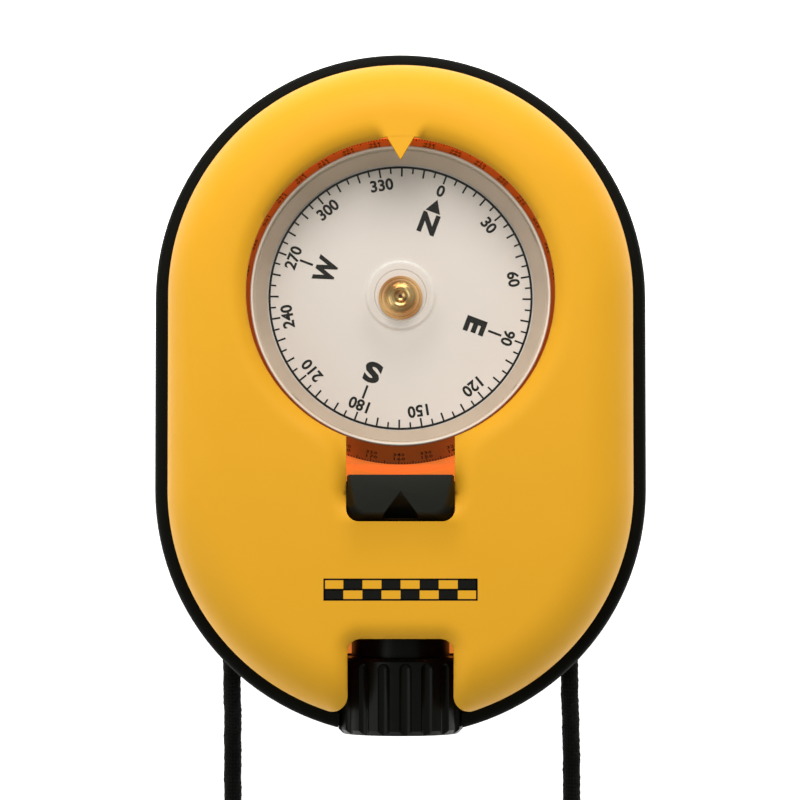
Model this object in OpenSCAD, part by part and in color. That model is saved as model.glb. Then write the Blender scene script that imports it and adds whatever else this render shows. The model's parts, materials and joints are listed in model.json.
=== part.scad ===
// Sighting compass for geology and survey work: a flat, round-ended case with a
// liquid-filled dial capsule, an open sight, and a focusing eyepiece that reads
// the scale on the side of the card.
//
// The compass lies on its back. +Z points out of the dial, +Y is the direction of
// sight, and the eyepiece is at the -Y end. The origin is at the middle of the back.

/* [Case] */
// Width of the case over its rubber bumper
case_w = 74; // [73:0.5:76]
// Distance between the centres of the two round ends
end_gap = 28.8; // [28.4:0.2:29.6]
// Height of the cover's flat top above the back
cover_z = 27.5; // [27.25:0.25:28]
// Radius of the cover's shoulder
shoulder_r = 8; // [7.5:0.25:8.5]
// Thickness of the walls of both shells
wall = 1.8; // [1.7:0.05:1.9]

/* [Dial] */
// Radius of the round window in the cover
window_r = 23.1; // [23:0.05:23.3]
// Radius of the flat card
card_r = 22.3; // [22.2:0.05:22.35]
// How far the card is turned from north, clockwise
card_turn = 20.6; // [-180:0.1:180]
// Outer radius of the capsule
capsule_r = 26.4; // [26.3:0.05:26.4]

/* [Eyepiece] */
// Radius of the ribbed focusing barrel
barrel_r = 9.4; // [9.2:0.1:9.4]
// Number of flutes round the barrel
flutes = 18; // [14:1:20]
// Height of the line of sight above the back
sight_z = 13; // [12.9:0.05:13.1]

/* [Lanyard] */
// Diameter of the braided cord
cord_d = 2.9; // [2.7:0.1:2.9]
// Distance of each cord from the middle of the case
cord_x = 25.8; // [25.6:0.1:26]

/* [Hidden] */
$fn = 96;
eps = 0.05;
joint_gap = 0.02;
end_y = end_gap / 2;

// Shells and bumper
rim_r = case_w / 2;
cover_r = rim_r - 2.2;
shell_r = rim_r - 1;
shell_round = 6;
ledge_z = 12;
seam_z = 14.5;
rim_top_z = 16.5;
ceiling_z = cover_z - wall;
boss_r = 2.6;
boss_seam_z = 9;
screw_r = 1;
screw_head_r = 1.9;
top_screw_r = 30.2;
low_screw = [15.5, -37.5];

// Openings in the cover
window_lift = 0.3;
window_y = end_y + window_lift;
slot_w = 16.06;
slot_end_y = -19.3;
slot_corner = 1.9;
edge_r = 2.6;
lip_z = 24.1;
lip_w = 2.8;
notch_w = 15.66;
notch_y = -36.57;
notch_corner = 2;
notch_flare = 2.5;
index_tip_y = 34.2;
index_slope = 0.58;
index_z = [23.8, 24.6];

// Light parts under the dial
frame_z = [4.3, 6.3];
frame_w = 25;
frame_end_y = -39.2;
saddle_y = -36.2;
saddle_z = 10.5;
light_x = 9;
light_y = [-34, -9];

// Capsule and card
floor_z = 7.8;
shoulder_z = [17.6, 18.8];
bezel_r = 22.4;
bezel_top_z = 22.6;
lid_z = [21.2, 22.4];
lid_r = 21.9;
card_z = [16.2, 17];
dip_z = 12.6;
dip_x = 5.6;
bar_top_z = 13.1;
pivot_tip_z = 18.3;
diaphragm_at = [0, 13];
plug_at = [0, -13];

// Sight and eyepiece
block_w = 15.45;
block_y = [-19, -12.75];
block_shelf_z = 27;
block_top_z = 29;
block_slope = 1.5;
barrel_y = [-51.1, -39.65];
tunnel_r = barrel_r + 0.4;
tunnel_y = barrel_y[1] + 0.4;
tube_r = 6.5;
tube_bore = 5.2;
tube_y = [-43.4, -15.5];
neck_r = 7.4;
neck_y = [-39.5, -36];
oring_y = -41.6;
oring_r = 0.4;
cell_y = [-47.5, -38.5];
collar_y = [-46.9, -45.2];
lens_r = 4.7;
lens_y = -44.9;
lens_t = 2.4;
lens_curve = 12;

// Lanyard
eyelet_z = 7;
eyelet_r = 2.4;
eyelet_boss_r = 3.3;
eyelet_y = -33;
cord_sides = 8;
coil_y = -88;
coil_r = 16;
coil_turns_wide = 3;
coil_turns_high = 3;
tie_w = 4;
tie_t = 0.6;
tie_gap = 0.2;
coil_side = coil_turns_wide * cord_d;

// The two ends of the lanyard, each from its eyelet down to the table and to the coil.
// The left one meets the coil's lowest turn and the right one its highest.
left_route = [
    [-25.8, -33, 7], [-25.8, -37, 7], [-25.8, -41, 6.9], [-25.8, -44, 6.2], [-25.8, -47, 4.9],
    [-25.8, -50, 3.4], [-25.9, -53, 2.2], [-25.9, -56, 1.6], [-25.9, -60, 1.5], [-25.8, -64, 1.5],
    [-25.5, -68, 1.5], [-24.9, -72, 1.5], [-24, -76, 1.6], [-22.9, -80, 1.8], [-22, -84, 2],
    [-21.75, -88, 2.1]
];
right_route = [
    [25.8, -33, 7], [25.8, -37, 7], [25.8, -41, 6.9], [25.9, -44, 6.2], [26, -47, 4.9],
    [26.2, -50, 3.4], [26.3, -53, 2.2], [26.4, -56, 1.6], [26.4, -60, 1.5], [26.3, -64, 1.6],
    [26, -68, 2], [25.4, -72, 2.7], [24.6, -76, 3.7], [23.5, -80, 5], [22.4, -84, 6.2],
    [21.75, -88, 6.9]
];

// ---- Shared shapes ----

// Carries a radial profile (x outwards, y upwards) round the outline of the case.
module round_the_case() {
    for (turn = [0, 180])
        rotate(turn) {
            translate([0, end_y, 0]) rotate_extrude(angle = 180) children();
            rotate([90, 0, 0]) linear_extrude(end_gap, center = true) children();
        }
}

// Radial profile of a filled case body from z0 to z1, with one round outer corner.
module body_profile(r, z0, z1, corner, corner_on_top = true) {
    corner_z = corner_on_top ? z1 - corner : z0 + corner;
    intersection() {
        translate([0, z0]) square([r, z1 - z0]);
        union() {
            translate([0, z0]) square([r - corner, z1 - z0]);
            translate([r - corner, corner_z]) circle(corner);
            translate([0, corner_on_top ? z0 : corner_z]) square([r, z1 - z0 - corner]);
        }
    }
}

// The strip that rounds an edge at the origin: solid lies at x > 0 and y < 0.
module edge_profile(r) {
    difference() {
        translate([-eps, -r]) square([r + eps, r + eps]);
        translate([r, -r]) circle(r);
    }
}

// A cylinder along the line of sight, from y0 to y1.
module along_sight(r, y0, y1, r_far = undef) {
    translate([0, y0, sight_z]) rotate([-90, 0, 0])
        cylinder(h = y1 - y0, r1 = r, r2 = is_undef(r_far) ? r : r_far);
}

// A revolved part about the dial's own axis.
module on_dial_axis() {
    translate([0, end_y, 0]) children();
}

// Children placed on the card, whose +Y is north.
module on_card() {
    on_dial_axis() rotate(-card_turn) children();
}

module ring(r_out, r_in, z0, z1) {
    difference() {
        translate([0, 0, z0]) cylinder(h = z1 - z0, r = r_out);
        translate([0, 0, z0 - 1]) cylinder(h = z1 - z0 + 2, r = r_in);
    }
}

module at_screws() {
    for (side = [-1, 1]) {
        on_dial_axis() rotate(side * 45) translate([0, top_screw_r, 0]) children();
        translate([side * low_screw[0], low_screw[1], 0]) children();
    }
}

module rounded_rect(w, y0, y1, corner) {
    for (side = [-1, 1], y = [y0 + corner, y1 - corner])
        translate([side * (w / 2 - corner), y]) circle(corner);
    translate([-w / 2, y0 + corner]) square([w, y1 - y0 - 2 * corner]);
    translate([-w / 2 + corner, y0]) square([w - 2 * corner, y1 - y0]);
}

// ---- Case ----

module cover_profile() {
    tongue_r = cover_r - wall - 0.1;
    difference() {
        body_profile(cover_r, seam_z, cover_z, shoulder_r);
        body_profile(cover_r - wall, seam_z - 1, ceiling_z, shoulder_r - wall);
    }
    translate([tongue_r - 1.1, ledge_z + 0.6]) square([1.1, seam_z - ledge_z + 2]);
    translate([tongue_r - 0.2, seam_z]) square([0.4, 1.4]);
}

// Index pointer that reads against the card, in outline.
module index_outline() {
    base_y = window_y + window_r + 1.5;
    half_w = (base_y - index_tip_y) * index_slope;
    polygon([[-half_w, base_y], [half_w, base_y], [0, index_tip_y]]);
}

// Round window and sight slot, in outline.
module window_outline() {
    translate([0, window_y]) circle(window_r);
    rounded_rect(slot_w, slot_end_y, 0, slot_corner);
}

// Thumb notch over the eyepiece, with its outer corners eased.
module notch_outline() {
    flare_y = -end_y - sqrt(pow(cover_r - notch_flare, 2) - pow(notch_w / 2 + notch_flare, 2));
    rounded_rect(notch_w, -60, notch_y, notch_corner);
    for (side = [-1, 1])
        difference() {
            translate([side * (notch_w / 2 + notch_flare / 2 + 0.4), flare_y - 3])
                square([notch_flare + 0.8, 6], center = true);
            translate([side * (notch_w / 2 + notch_flare), flare_y]) circle(notch_flare);
        }
}

// The thicker lip that hangs below the cover round the window and the slot, in outline.
module lip_outline() {
    translate([0, window_y]) circle(window_r + lip_w);
    rounded_rect(slot_w + 2 * lip_w, slot_end_y - lip_w, 0, slot_corner + lip_w);
}

// Rounds the upper edges of the window and the slot.
module window_edges() {
    slot_side = slot_w / 2;
    slot_top_y = window_y - window_r + 0.6;
    corner_y = slot_end_y + slot_corner;
    translate([0, window_y, cover_z]) rotate_extrude()
        translate([window_r, 0]) edge_profile(edge_r);
    for (side = [0, 1])
        mirror([side, 0, 0]) {
            translate([slot_side, corner_y, cover_z]) rotate([90, 0, 180])
                linear_extrude(slot_top_y - corner_y) mirror([1, 0, 0]) edge_profile(edge_r);
            translate([slot_side - slot_corner, corner_y, cover_z]) rotate(-90)
                rotate_extrude(angle = 90) translate([slot_corner, 0]) edge_profile(edge_r);
        }
    translate([0, slot_end_y, cover_z]) rotate([90, 0, -90])
        linear_extrude(slot_w - 2 * slot_corner, center = true) edge_profile(edge_r);
}

module top_cover() {
    color("gold")
        difference() {
            union() {
                difference() {
                    union() {
                        round_the_case() cover_profile();
                        translate([0, 0, lip_z]) linear_extrude(cover_z - lip_z - 1) lip_outline();
                    }
                    translate([0, 0, lip_z - 1]) linear_extrude(5) window_outline();
                    window_edges();
                }
                translate([0, 0, index_z[0]]) linear_extrude(index_z[1] - index_z[0]) index_outline();
                intersection() {
                    round_the_case() body_profile(cover_r - 0.3, boss_seam_z, cover_z - 0.3, shoulder_r);
                    at_screws() translate([0, 0, boss_seam_z]) cylinder(h = cover_z, r = boss_r);
                }
            }
            translate([0, 0, sight_z]) linear_extrude(cover_z) notch_outline();
            along_sight(tunnel_r, -60, tunnel_y);
            at_screws() translate([0, 0, boss_seam_z - 1]) cylinder(h = 7, r = screw_r + 0.02);
        }
}

module rim_bumper() {
    corner = 1.2;
    color("#151515")
        difference() {
            round_the_case()
                difference() {
                    translate([0, ledge_z + joint_gap]) square([rim_r, rim_top_z - ledge_z - joint_gap]);
                    square([cover_r + joint_gap, rim_top_z + 1]);
                    translate([rim_r, rim_top_z]) mirror([1, 0]) edge_profile(corner);
                    translate([rim_r, ledge_z + joint_gap])
                        mirror([1, 0]) mirror([0, 1]) edge_profile(corner);
                }
            along_sight(tunnel_r, -60, tunnel_y);
        }
}

module rear_profile() {
    difference() {
        union() {
            body_profile(shell_r, 0, ledge_z, shell_round, corner_on_top = false);
            translate([0, ledge_z - 1]) square([cover_r, seam_z - ledge_z + 1]);
        }
        body_profile(shell_r - wall, 2, ledge_z, shell_round - wall, corner_on_top = false);
        translate([0, ledge_z - 1]) square([cover_r - wall, seam_z]);
    }
}

module rear_shell() {
    color("#1a1a1a")
        difference() {
            union() {
                round_the_case() rear_profile();
                at_screws() translate([0, 0, 1]) cylinder(h = boss_seam_z - 1, r = boss_r);
                intersection() {
                    round_the_case() body_profile(shell_r, 0, ledge_z, shell_round, corner_on_top = false);
                    at_cords() cylinder(h = 12, r = eyelet_boss_r);
                }
            }
            at_cords() translate([0, 0, -1]) cylinder(h = 20, r = eyelet_r);
            at_screws() {
                translate([0, 0, -1]) cylinder(h = 3.1, r = screw_head_r + 0.2);
                cylinder(h = 20, r = screw_r + 0.2);
            }
            along_sight(tunnel_r, -60, tunnel_y);
            translate([0, 0, -1]) linear_extrude(4) rounded_rect(2 * light_x, light_y[0], light_y[1], 2);
        }
}

module light_window() {
    clear = 0.1;
    lip = 1.2;
    color("#ff6a1e") {
        translate([0, 0, 0.4]) linear_extrude(1.6)
            rounded_rect(2 * (light_x - clear), light_y[0] + clear, light_y[1] - clear, 2);
        translate([0, 0, 2]) linear_extrude(1)
            rounded_rect(2 * (light_x + lip), light_y[0] - lip, light_y[1] + lip, 3);
    }
}

// Fluorescent frame that carries the capsule, the sight and the optic tube.
module light_frame() {
    seat_r = capsule_r + 1;
    plate_t = frame_z[1] - frame_z[0];
    color("#ff7020")
        difference() {
            union() {
                translate([0, 0, frame_z[0]]) linear_extrude(plate_t) {
                    translate([0, end_y]) circle(seat_r);
                    translate([-frame_w / 2, frame_end_y]) square([frame_w, end_y - frame_end_y]);
                }
                on_dial_axis() {
                    ring(seat_r, capsule_r + 0.05, frame_z[1] - eps, 12);
                    ring(21.5, 20, 2, frame_z[0] + eps);
                }
                for (side = [-1, 1])
                    translate([side * 11.5 - 0.9, -38, 2]) cube([1.8, 28, frame_z[0] - 2 + eps]);
                translate([-frame_w / 2, frame_end_y, frame_z[0]])
                    cube([frame_w, saddle_y - frame_end_y, saddle_z - frame_z[0]]);
            }
            translate([-9, -14, frame_z[1]]) cube([18, 6, 10]);
            along_sight(neck_r + 0.05, -45, saddle_y + 0.3);
            on_dial_axis() translate([diaphragm_at[0], diaphragm_at[1], 0]) cylinder(h = 10, r = 4);
        }
}

module case_screws() {
    color("#8d9095")
        at_screws() difference() {
            union() {
                translate([0, 0, 0.6]) cylinder(h = 1.5, r1 = screw_head_r - 0.3, r2 = screw_head_r);
                translate([0, 0, 2]) cylinder(h = 12, r = screw_r);
            }
            for (turn = [0, 90])
                rotate(turn) translate([-1.2, -0.22, 0]) cube([2.4, 0.44, 1.4]);
        }
}

// ---- Capsule ----

module capsule_cup() {
    color("#e8eef0", 0.4)
        on_dial_axis() difference() {
            translate([0, 0, frame_z[1]]) cylinder(h = shoulder_z[0] - frame_z[1], r = capsule_r);
            translate([0, 0, floor_z]) cylinder(h = 20, r = capsule_r - 1.2);
            translate([diaphragm_at[0], diaphragm_at[1], 0]) {
                cylinder(h = 10, r = 3.5);
                cylinder(h = frame_z[1] + 0.6, r = 5.2);
            }
            translate([plug_at[0], plug_at[1], 0]) cylinder(h = 10, r = 1.2);
        }
}

module capsule_shoulder() {
    color("#e8eef0", 0.4)
        on_dial_axis() difference() {
            ring(capsule_r, bezel_r + joint_gap, shoulder_z[0], shoulder_z[1]);
            translate([0, 0, shoulder_z[1]]) rotate_extrude()
                translate([capsule_r, 0]) mirror([1, 0]) edge_profile(0.6);
        }
}

// Grey ring whose inner face slopes down from the lid to the edge of the card.
module capsule_bezel() {
    color("#b7aa9c")
        on_dial_axis() rotate_extrude() polygon([
            [20.05, shoulder_z[0]], [bezel_r, shoulder_z[0]],
            [bezel_r, bezel_top_z - 0.15], [bezel_r - 0.15, bezel_top_z],
            [lid_r + 0.15, bezel_top_z], [lid_r + 0.05, bezel_top_z - 0.15],
            [lid_r + 0.05, lid_z[0]], [lid_r - 0.2, lid_z[0]]
        ]);
}

// Clear lid with a raised boss over the card's bearing.
module capsule_lid() {
    boss_r = 5.3;
    boss_z = lid_z[1] + 0.5;
    dome = 0.8;
    color("#f2f5f6", 0.3)
        on_dial_axis() rotate_extrude()
            difference() {
                union() {
                    translate([0, lid_z[0]]) square([lid_r, lid_z[1] - lid_z[0]]);
                    translate([0, lid_z[0]]) square([boss_r, boss_z - lid_z[0]]);
                    translate([boss_r, lid_z[1]]) difference() {
                        square([dome, dome / 2]);
                        translate([dome, dome]) circle(dome);
                    }
                }
                translate([0, 0]) square([3.95, lid_z[1] - 0.2]);
                translate([lid_r, lid_z[1]]) mirror([1, 0]) edge_profile(0.25);
                translate([boss_r, boss_z]) mirror([1, 0]) edge_profile(0.45);
            }
}

module expansion_diaphragm() {
    color("#2b2b2b")
        on_dial_axis() translate([diaphragm_at[0], diaphragm_at[1], 0]) {
            ring(5.1, 2.9, frame_z[1], frame_z[1] + 0.55);
            translate([0, 0, frame_z[1] + 0.15]) cylinder(h = 0.3, r = 3.4);
        }
}

module fill_plug() {
    color("#c9a24a")
        on_dial_axis() translate([plug_at[0], plug_at[1], frame_z[1]])
            cylinder(h = floor_z - frame_z[1], r = 1.18);
}

module pivot_base() {
    color("#c9a24a")
        on_dial_axis() difference() {
            union() {
                translate([0, 0, floor_z]) cylinder(h = 0.6, r = 2.2);
                translate([0, 0, floor_z]) cylinder(h = 1.4, r = 1.4);
            }
            cylinder(h = 20, r = 0.82);
        }
}

module pivot_needle() {
    color("#b9bcc0")
        on_dial_axis() {
            translate([0, 0, floor_z]) cylinder(h = 3, r = 0.8);
            translate([0, 0, floor_z + 2.9]) cylinder(h = 0.6, r1 = 0.8, r2 = 0.35);
            translate([0, 0, floor_z + 3.4]) cylinder(h = 5.9, r = 0.35);
            translate([0, 0, pivot_tip_z - 1.25]) cylinder(h = 1.25, r1 = 0.35, r2 = 0.04);
        }
}

// ---- Card, free to turn on the needle ----

module card_disc() {
    color("#f1ebe2")
        on_card() ring(card_r, 1.52, card_z[0], card_z[1]);
}

// Cone below the card's edge that carries the degree scale read through the eyepiece.
module side_scale_ring() {
    foot_z = 10.8;
    foot_r = card_r + 2.65;
    skin = 0.6;
    color("#b4441a")
        on_card() rotate_extrude() polygon([
            [card_r + joint_gap, card_z[1]], [foot_r, foot_z], [foot_r - skin, foot_z],
            [card_r - 0.35, card_z[0] - joint_gap], [card_r + joint_gap, card_z[0] - joint_gap]
        ]);
}

// Turned brass cap with a bell-shaped skirt, a collar and a cupped post.
module bearing_cap() {
    skirt_r = 3.3;
    post_r = 1.5;
    color("#c99a3c")
        on_card() rotate_extrude()
            difference() {
                union() {
                    translate([0, card_z[0] - 0.9]) square([1.5, 2]);
                    translate([0, card_z[1]]) square([skirt_r, 0.35]);
                    intersection() {
                        translate([0, card_z[1]]) square([skirt_r, 1.7]);
                        translate([1.2, card_z[1] + 0.35]) circle(1.7);
                    }
                    polygon([
                        [0, card_z[1]], [skirt_r, card_z[1] + 0.35], [skirt_r - 0.35, card_z[1] + 0.8],
                        [2.15, card_z[1] + 1.5], [2, card_z[1] + 2.1], [0, card_z[1] + 2.1]
                    ]);
                    translate([0, card_z[1]]) square([post_r, 3.6]);
                }
                translate([0, card_z[0] - 1]) square([0.78, 3.4]);
                translate([0, card_z[1] + 1.25]) square([0.3, 4]);
                translate([0, card_z[1] + 4]) circle(1.05);
                translate([post_r, card_z[1] + 3.6]) mirror([1, 0]) edge_profile(0.2);
            }
}

// Ruby cup that rides on the needle's point.
module bearing_jewel() {
    color("#b3203a")
        on_card() difference() {
            translate([0, 0, pivot_tip_z - 0.45]) cylinder(h = 0.72, r = 0.76);
            translate([0, 0, pivot_tip_z - 0.5]) cylinder(h = 0.55, r1 = 0.6, r2 = 0.06);
        }
}

// Two lugs under the card in which the magnet hangs.
module dip_brackets() {
    color("#d8d2c6")
        on_card() for (side = [-1, 1])
            difference() {
                translate([side * (dip_x + 0.45) - 0.45, -1.2, dip_z - 0.9])
                    cube([0.9, 2.4, card_z[0] - dip_z + 0.9]);
                translate([side * (dip_x + 0.45), 0, dip_z]) rotate([0, 90, 0])
                    cylinder(h = 2, r = 0.45, center = true);
            }
}

// ---- Magnet, free to dip inside the card ----

module magnet_yoke() {
    arm_x = 5.05;
    arm_t = 0.25;
    color("#c9a24a")
        on_card() {
            difference() {
                translate([-arm_x - arm_t, -2.4, bar_top_z]) cube([2 * (arm_x + arm_t), 4.8, 0.6]);
                cylinder(h = 20, r = 2);
            }
            for (side = [0, 1])
                mirror([side, 0, 0]) {
                    translate([arm_x, -1, dip_z - 0.9]) cube([arm_t, 2, bar_top_z - dip_z + 1]);
                    translate([arm_x, 0, dip_z]) rotate([0, 90, 0]) cylinder(h = 1.5, r = 0.4);
                }
        }
}

module magnet_bars() {
    bar = [2.4, 14, 1.8];
    color("#4c4f55")
        on_card() for (side = [-1, 1])
            translate([side * 3.8 - bar[0] / 2, -bar[1] / 2, bar_top_z - bar[2]]) cube(bar);
}

// ---- Sight and fixed optics ----

// Outline of the sight block with eased rear corners.
module block_outline(inset) {
    corner = 1.7;
    w = block_w / 2 - inset;
    front = block_y[1] - inset / 3;
    back = block_y[0] + inset;
    polygon([[-w, front], [w, front], [w, back + corner + inset], [w - corner - inset, back],
        [-w + corner + inset, back], [-w, back + corner + inset]]);
}

module sight_block() {
    notch_y0 = -14.8;
    notch_len = 5;
    color("#202321")
        difference() {
            union() {
                translate([0, 0, frame_z[1]]) linear_extrude(block_shelf_z - frame_z[1])
                    rounded_rect(block_w, block_y[0], block_y[1], 1.7);
                hull() {
                    translate([0, 0, block_shelf_z - 0.01]) linear_extrude(0.01) block_outline(0);
                    translate([0, 0, block_top_z - 0.01]) linear_extrude(0.01) block_outline(block_slope);
                }
            }
            translate([0, notch_y0, block_top_z]) rotate([90, 0, 0])
                cylinder(h = notch_len, r1 = 0, r2 = 0.7 * notch_len);
            along_sight(4.4, -20, -10);
            along_sight(tube_bore, -20, block_y[1] - 1.9);
            along_sight(tube_r + 0.03, -20, tube_y[1] + 0.02);
        }
}

module hairline_window() {
    color("#e8eef0", 0.4) along_sight(tube_bore - 0.03, tube_y[1] + 0.05, block_y[1] - 1.92);
}

module optic_tube() {
    color("#191919")
        difference() {
            union() {
                along_sight(tube_r, tube_y[0], tube_y[1]);
                along_sight(neck_r, neck_y[0], neck_y[1]);
            }
            along_sight(tube_bore, -60, 0);
            translate([0, oring_y, sight_z]) rotate([90, 0, 0])
                ring(tube_r + 1, tube_r - 0.75, -oring_r - 0.05, oring_r + 0.05);
        }
}

module focus_oring() {
    color("#2b2b2b")
        translate([0, oring_y, sight_z]) rotate([90, 0, 0])
            rotate_extrude() translate([tube_r - 0.34, 0]) circle(oring_r);
}

// ---- Focusing eyepiece ----

// Ribbed barrel that turns on the optic tube.
module eyepiece_barrel() {
    flute_r = 1.05;
    flute_start = barrel_y[1] - 1.65;
    color("#101211")
        difference() {
            union() {
                along_sight(barrel_r, barrel_y[0] + 0.7, barrel_y[1] - 0.5);
                along_sight(barrel_r - 0.7, barrel_y[0], barrel_y[0] + 0.71, barrel_r);
                along_sight(barrel_r, barrel_y[1] - 0.51, barrel_y[1], barrel_r - 0.5);
            }
            along_sight(tube_r + 0.07, tube_y[0] - 0.2, 0);
            along_sight(5.9, -48.6, 0);
            along_sight(tube_bore, -60, 0);
            along_sight(7.6, barrel_y[0] - 0.01, -48.9, tube_bore);
            for (i = [0 : flutes - 1])
                translate([0, flute_start, sight_z]) rotate([90, 360 / flutes * i + 4.5, 0])
                    translate([0, barrel_r + 0.45, 0]) {
                        cylinder(h = 12, r = flute_r);
                        sphere(flute_r);
                    }
        }
}

// Sliding cell that the barrel's thread drives in and out.
module lens_cell() {
    color("#26282a")
        difference() {
            union() {
                along_sight(tube_bore - 0.08, cell_y[0], cell_y[1]);
                along_sight(5.8, collar_y[0], collar_y[1]);
            }
            along_sight(3.9, -60, 0);
            along_sight(lens_r + 0.05, -60, lens_y + 0.6);
            along_sight(4.4, -60, lens_y + 1.4);
        }
}

// Biconvex magnifying lens.
module eyepiece_lens() {
    color("#dfeaf0", 0.4)
        translate([0, lens_y, sight_z]) rotate([-90, 0, 0]) rotate_extrude($fn = 240)
            intersection() {
                translate([0, -lens_t]) square([lens_r, 2 * lens_t]);
                translate([0, lens_t / 2 - lens_curve]) circle(lens_curve, $fn = 720);
                translate([0, lens_curve - lens_t / 2]) circle(lens_curve, $fn = 720);
            }
}

module lens_retainer() {
    color("#3a3c3e")
        difference() {
            along_sight(lens_r + 0.03, -47.3, -45.7);
            along_sight(4, -60, 0);
            along_sight(lens_r - 0.25, lens_y - 0.8, 0);
        }
}

// ---- Lanyard ----

module at_cords() {
    for (side = [-1, 1])
        translate([side * cord_x, eyelet_y, eyelet_z]) rotate([90, 0, 0]) children();
}

module cord_eyelets() {
    color("#0e0e0e")
        intersection() {
            round_the_case() body_profile(shell_r, 0, ledge_z, shell_round, corner_on_top = false);
            at_cords() ring(eyelet_r - 0.02, cord_d / 2 + 0.06, 0, 12);
        }
}

module cord_stops() {
    color("#a7a9ac") at_cords() {
        translate([0, 0, -3.5]) cylinder(h = 2.7, r = 2.2);
        translate([0, 0, -0.8]) cylinder(h = 0.8, r1 = 2.2, r2 = 1.8);
    }
}

// One ring of points round a route at point i, square to the route there.
function route_dir(p, i) =
    let (d = p[min(i + 1, len(p) - 1)] - p[max(i - 1, 0)]) d / norm(d);
function ring_points(p, i, r) =
    let (d = route_dir(p, i), side = cross(d, [0, 0, 1]) / norm(cross(d, [0, 0, 1])), up = cross(side, d))
    [for (k = [0 : cord_sides - 1])
        let (a = 360 * (k + 0.5) / cord_sides) p[i] + r * (cos(a) * side + sin(a) * up)];

// Sweeps a tube of radius r along the points of a route.
module tube_along(p, r) {
    n = cord_sides;
    last = (len(p) - 1) * n;
    points = [for (i = [0 : len(p) - 1]) each ring_points(p, i, r)];
    walls = [for (i = [0 : len(p) - 2], k = [0 : n - 1])
        let (a = i * n + k, b = i * n + (k + 1) % n) each [[a, a + n, b + n], [a, b + n, b]]];
    near_cap = [[for (k = [0 : n - 1]) k]];
    far_cap = [[for (k = [n - 1 : -1 : 0]) last + k]];
    polyhedron(points, concat(walls, near_cap, far_cap));
}

module lanyard_left_run() {
    color("#0b0b0b") tube_along(left_route, cord_d / 2);
}

module lanyard_right_run() {
    color("#0b0b0b") tube_along(right_route, cord_d / 2);
}

// Outer shape of the bundle of turns.
module lanyard_coil() {
    corner = cord_d / 2;
    color("#0b0b0b")
        translate([0, coil_y, tie_t]) rotate_extrude()
            translate([coil_r, 0]) rounded_rect(coil_side, 0, coil_turns_high * cord_d, corner);
}

// Strap wrapped round the bundle of turns.
module coil_tie() {
    h = coil_turns_high * cord_d + 2 * tie_t;
    w = coil_side + 2 * tie_gap;
    color("#222222")
        translate([tie_w / 2, coil_y - coil_r, 0]) rotate([0, -90, 0]) rotate(-90) linear_extrude(tie_w)
            difference() {
                rounded_rect(w + 2 * tie_t, 0, h, cord_d / 2 + tie_t);
                rounded_rect(w, tie_t, h - tie_t, cord_d / 2);
            }
}

top_cover();
rim_bumper();
rear_shell();
light_window();
light_frame();
case_screws();
capsule_cup();
capsule_shoulder();
capsule_bezel();
capsule_lid();
expansion_diaphragm();
fill_plug();
pivot_base();
pivot_needle();
card_disc();
side_scale_ring();
bearing_cap();
bearing_jewel();
dip_brackets();
magnet_yoke();
magnet_bars();
sight_block();
hairline_window();
optic_tube();
focus_oring();
eyepiece_barrel();
lens_cell();
eyepiece_lens();
lens_retainer();
cord_eyelets();
cord_stops();
lanyard_left_run();
lanyard_right_run();
lanyard_coil();
coil_tie();
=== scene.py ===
"""Looks of a sighting compass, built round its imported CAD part."""
import json
import math

import bpy
from mathutils import Matrix, Vector


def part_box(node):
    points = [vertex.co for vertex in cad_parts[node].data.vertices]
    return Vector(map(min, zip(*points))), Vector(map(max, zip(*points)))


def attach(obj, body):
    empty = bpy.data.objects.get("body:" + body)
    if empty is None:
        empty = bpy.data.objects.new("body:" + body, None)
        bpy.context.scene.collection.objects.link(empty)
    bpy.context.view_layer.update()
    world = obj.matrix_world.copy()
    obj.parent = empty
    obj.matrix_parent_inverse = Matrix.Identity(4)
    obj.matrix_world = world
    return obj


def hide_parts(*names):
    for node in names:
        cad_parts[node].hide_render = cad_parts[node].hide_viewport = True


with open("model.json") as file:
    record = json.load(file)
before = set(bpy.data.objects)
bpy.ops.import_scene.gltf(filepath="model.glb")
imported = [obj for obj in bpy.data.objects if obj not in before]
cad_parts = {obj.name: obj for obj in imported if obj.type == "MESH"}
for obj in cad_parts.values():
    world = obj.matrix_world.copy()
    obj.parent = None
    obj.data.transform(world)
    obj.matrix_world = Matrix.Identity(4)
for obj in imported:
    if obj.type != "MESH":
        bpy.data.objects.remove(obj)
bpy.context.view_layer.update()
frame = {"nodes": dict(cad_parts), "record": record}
bpy.ops.object.select_all(action="DESELECT")

MM = 0.001


def middle(node):
    """The centre of a CAD node's box."""
    low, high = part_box(node)
    return (low + high) / 2


# ---- Camera ----

def make_camera():
    """Looks down on the dial from arm's length, a little from the eyepiece's side."""
    aim = Vector((-0.08 * MM, -0.87 * MM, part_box("rim_bumper")[1].z - 2.25 * MM))
    tilt = math.radians(2.5)
    away = 490 * MM
    bpy.ops.object.camera_add(
        location=aim + away * Vector((0, -math.sin(tilt), math.cos(tilt))),
        rotation=(tilt, 0, 0),
    )
    camera = bpy.context.object
    camera.data.sensor_width = 36
    camera.data.lens = 145.8
    camera.data.clip_start = 0.01
    bpy.context.scene.camera = camera


# ---- Shader helpers ----

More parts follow.
